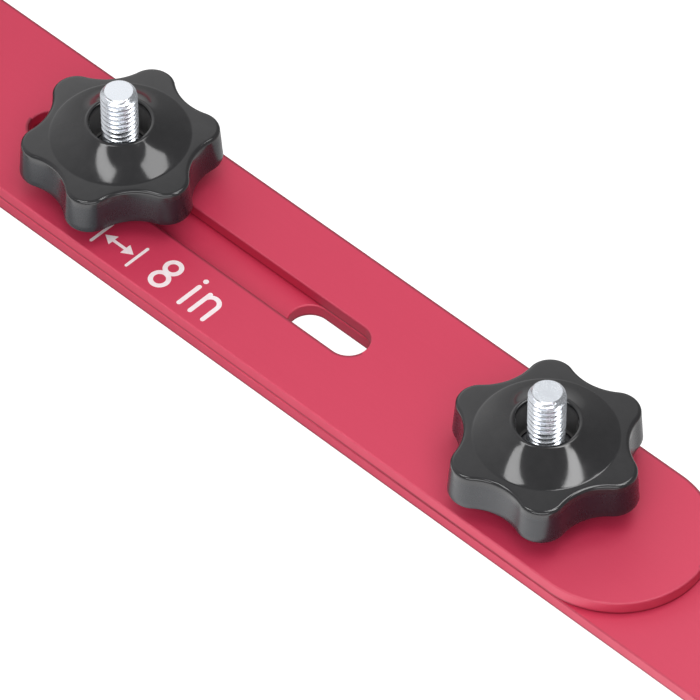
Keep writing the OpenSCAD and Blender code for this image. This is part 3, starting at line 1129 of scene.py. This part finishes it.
    def ribs(self, s, place, tree, turn, cx, cy, z, material):
        """The ribs between the boss and the skirt, one mesh for the knob's body."""
        overlap = 0.3 * MM
        mesh = baked(
            f"{place}_knob_ribs",
            tree,
            {
                "Count": self.lobes,
                "Inner radius": s.boss - overlap,
                "Outer radius": s.across / 2 - s.hollow - s.wall + overlap,
                "Thickness": s.rib,
                "Height": s.skirt - s.wall + overlap,
                "Foot": z + s.boss_drop,
                "Turn": math.radians(turn + 180 / self.lobes),
                "Centre X": cx,
                "Centre Y": cy,
                "Material": material,
            },
        )
        piece = bpy.data.objects.new(f"{place}_knob_ribs", mesh)
        bpy.context.scene.collection.objects.link(piece)
        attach(piece, BODY_OF[f"{place}_knob"])


class GAUGE_OT_mark(bpy.types.Operator):
    """Print the size mark on the upper bar"""

    bl_idname = "gauge.mark"
    bl_label = "Size mark"

    def execute(self, context):
        s = context.scene.gauge_mark
        z = high("upper_bar")[2]
        half, dot = s.stroke / 2, 1.15 * s.stroke / 2
        clear, thick, eased = 0.002 * MM, 0.02 * MM, 0.004 * MM
        outlines = [
            *self.digit(s),
            self.stem(s.i_x, s.base + half, s.base + s.low_letter - half, half),
            arc_outline([(s.i_x, s.base + s.dot_rise, dot, 0, 360)], step=10),
            self.arched_letter(s),
            *self.span_mark(s),
        ]
        ink = sheet_piece("size_mark", outlines, z + clear, z + thick, eased, white_ink(s), steps=1)
        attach(ink, BODY_OF["upper_bar"])
        return {"FINISHED"}

    def digit(self, s):
        """The figure eight: its waisted outline and its two holes."""
        x, low_y = s.digit_x, s.base + s.low_loop
        top_y = low_y + s.loop_gap
        along = (s.loop_gap**2 + s.low_loop**2 - s.top_loop**2) / (2 * s.loop_gap)
        low_a = math.degrees(math.asin(along / s.low_loop))
        top_a = math.degrees(math.asin((s.loop_gap - along) / s.top_loop))
        loops = [
            (x, low_y, s.low_loop, -180 - low_a, low_a),
            (x, top_y, s.top_loop, -top_a, 180 + top_a),
        ]
        return [
            arc_outline(loops, step=6),
            arc_outline([(x, low_y, s.low_loop - s.stroke, 360, 0)], step=10),
            arc_outline([(x, top_y, s.top_loop - s.stroke, 360, 0)], step=10),
        ]

    def stem(self, x, y0, y1, half):
        return arc_outline([(x, y0, half, 180, 360), (x, y1, half, 0, 180)], step=12)

    def arched_letter(self, s):
        """Stem, arch and second leg as one outline."""
        half = s.stroke / 2
        x, foot = s.n_x, s.base + half
        spring = s.base + s.low_letter - half - s.arch
        outer = s.arch + half
        gap = math.hypot(s.arch, s.arch)
        near = (gap**2 + half**2 - outer**2) / (2 * gap)
        open_a = math.degrees(math.acos(near / half))
        shut_a = math.degrees(math.acos((gap - near) / outer))
        return arc_outline(
            [
                (x, foot, half, 180, 360),
                (x + s.arch, spring, s.arch - half, 180, 0),
                (x + 2 * s.arch, foot, half, 180, 360),
                (x + s.arch, spring, outer, 0, 135 - shut_a),
                (x, spring + s.arch, half, open_a - 45, 180),
            ],
            step=8,
        )

    def span_mark(self, s):
        """A plain two-headed arrow between two ticks."""
        head, barb, line, tick = 1.9 * MM, 1.15 * MM, 0.28 * MM, 2.4 * MM
        gap, eased = 0.75 * MM, 0.06 * MM
        half = s.span / 2
        x, y = s.span_x + half, s.base + s.low_letter / 2
        neck = half - head
        lower = [(-half, 0), (-neck, -barb), (-neck, -line), (neck, -line), (neck, -barb)]
        upper = [(-across, -up) for across, up in lower]
        corners = [(x + across, y + up) for across, up in (*lower, *upper)]
        ends = (x - half - gap, x + half + gap)
        ticks = [self.stem(end, y - tick, y + tick, line) for end in ends]
        return [arc_outline(eased_corners(corners, eased), step=30), *ticks]


class GAUGE_OT_stage(bpy.types.Operator):
    """Set the camera, the lights and the floor"""

    bl_idname = "gauge.stage"
    bl_label = "Stage"
    # Places and directions are given toward the camera, to its right and up. Lengths are metres.
    back_glow, back_tightness = (-0.843, -0.155, 0.515), 18
    wall_glow, wall_tightness = (-0.41, -0.71, 0.57), 6
    floor_size = 12

    def execute(self, context):
        scene = context.scene
        s = scene.gauge_stage
        self.toward = Vector((math.sin(s.azimuth), -math.cos(s.azimuth), 0))
        self.right = Vector((math.cos(s.azimuth), math.sin(s.azimuth), 0))
        self.up = Vector((0, 0, 1))
        self.aim = Vector(s.aim)
        self.camera(scene, s)
        boxes = (
            ("left_box", (0.04, -0.175, 0.4075), (0.3, -0.83, -0.46), (0.085, 0.212), s.left),
            ("right_box", (0.047, 0.105, 0.177), (0.46, 0.78, -0.43), (0.036, 0.09), s.right),
            ("low_box", (-0.051, 0.104, 0.2755), (-0.17, 0.88, -0.44), (0.09, 0.12), s.low),
        )
        for box in boxes:
            self.soft_box(scene, *box, lights=False)
        self.soft_box(scene, "front_box", (0.966, -0.1, 0.87), (0, 0, 1), (1.4, 0.6), s.front)
        self.soft_box(scene, "fill_box", (0.036, 0.15, 0.887), (0, 1, 0), (0.8, 0.8), s.fill, glints=False)
        self.room(scene, s)
        bm = bmesh.new()
        bmesh.ops.create_grid(bm, x_segments=8, y_segments=8, size=self.floor_size)
        floor = to_object("floor", bm, pale_floor(s))
        scene.view_settings.view_transform = "Standard"
        return {"FINISHED"}

    def from_camera(self, spot):
        """A direction given toward the camera, to its right and up, in the gauge's own frame."""
        return self.toward * spot[0] + self.right * spot[1] + self.up * spot[2]

    def camera(self, scene, s):
        camera = bpy.data.cameras.new("camera")
        camera.sensor_width = 36
        camera.lens = camera.sensor_width / 2 / math.tan(s.field / 2)
        camera.clip_start, camera.clip_end = 0.05, 60
        stand = bpy.data.objects.new("camera", camera)
        back = self.from_camera((math.cos(s.elevation), 0, math.sin(s.elevation)))
        turn = (-back).to_track_quat("-Z", "Y").to_matrix().to_4x4()
        spot = Matrix.Translation(self.aim + back * s.distance)
        stand.matrix_world = spot @ turn @ Matrix.Rotation(s.roll, 4, "Z")
        scene.collection.objects.link(stand)
        scene.camera = stand

    def soft_box(self, scene, name, spot, along, size, watts, lights=True, glints=True):
        """A soft box that faces the gauge, its height turned towards a direction.
        A box that only glints leaves no bright patch on the red sheets under it."""
        place = self.from_camera(spot)
        z_axis = place.normalized()
        x_axis = self.from_camera(along).cross(z_axis).normalized()
        y_axis = z_axis.cross(x_axis)
        light = bpy.data.lights.new(name, "AREA")
        light.shape = "RECTANGLE"
        light.size, light.size_y = size
        light.energy = watts
        lamp = bpy.data.objects.new(name, light)
        facing = Matrix((x_axis, y_axis, z_axis)).transposed().to_4x4()
        lamp.matrix_world = Matrix.Translation(self.aim + place) @ facing
        lamp.visible_diffuse = lights
        lamp.visible_glossy = glints
        scene.collection.objects.link(lamp)

    def room(self, scene, s):
        """The light of the room: even, with a soft glow from two sides, and white to look at."""
        world = bpy.data.worlds.new("room")
        world.use_nodes = True
        world.node_tree.nodes.clear()
        start = Wire(world.node_tree)
        ray = start.add("ShaderNodeTexCoord").output("Generated")

        def glow_from(spot, tightness):
            centre = self.from_camera(spot).normalized()
            facing = start.add("ShaderNodeVectorMath", {"operation": "DOT_PRODUCT"}, {0: ray, 1: centre})
            return facing.output("Value").clamp() ** tightness

        behind = s.back * glow_from(self.back_glow, self.back_tightness)
        beside = s.wall * glow_from(self.wall_glow, self.wall_tightness)
        room = s.sky + behind + beside
        seen = start.add("ShaderNodeLightPath").output("Is Camera Ray")
        shown = seen + (1 - seen) * room
        glow = start.add("ShaderNodeBackground", sockets={"Color": (1, 1, 1, 1), "Strength": shown})
        start.add("ShaderNodeOutputWorld", sockets={"Surface": glow})
        scene.world = world


class GAUGE_PT_panel(bpy.types.Panel):
    """Sidebar list of the gauge's pieces and settings"""

    bl_idname = "GAUGE_PT_panel"
    bl_label = "Tread gauge"
    bl_space_type = "VIEW_3D"
    bl_region_type = "UI"
    bl_category = "Tread gauge"

    def draw(self, context):
        for operator in OPERATORS:
            self.layout.operator(operator.bl_idname)
        for name in SETTINGS:
            group = getattr(context.scene, name)
            column = self.layout.column()
            for key in group.__annotations__:
                column.prop(group, key)


SETTINGS = {
    "gauge_sheet": GaugeSheetSettings,
    "gauge_knob": GaugeKnobSettings,
    "gauge_bolt": GaugeBoltSettings,
    "gauge_mark": GaugeMarkSettings,
    "gauge_stage": GaugeStageSettings,
}
OPERATORS = (
    GAUGE_OT_bars,
    GAUGE_OT_end_plates,
    GAUGE_OT_bolts,
    GAUGE_OT_washers,
    GAUGE_OT_inserts,
    GAUGE_OT_knobs,
    GAUGE_OT_mark,
    GAUGE_OT_stage,
)


def register():
    for cls in (*SETTINGS.values(), *OPERATORS, GAUGE_PT_panel):
        bpy.utils.register_class(cls)
    for name, cls in SETTINGS.items():
        setattr(bpy.types.Scene, name, PointerProperty(type=cls))


def unregister():
    for name in SETTINGS:
        delattr(bpy.types.Scene, name)
    for cls in (GAUGE_PT_panel, *reversed(OPERATORS), *reversed(SETTINGS.values())):
        bpy.utils.unregister_class(cls)


def main():
    register()
    bpy.ops.gauge.bars()
    bpy.ops.gauge.end_plates()
    bpy.ops.gauge.bolts()
    bpy.ops.gauge.washers()
    bpy.ops.gauge.inserts()
    bpy.ops.gauge.knobs()
    bpy.ops.gauge.mark()
    bpy.ops.gauge.stage()


if __name__ == "__main__":
    main()
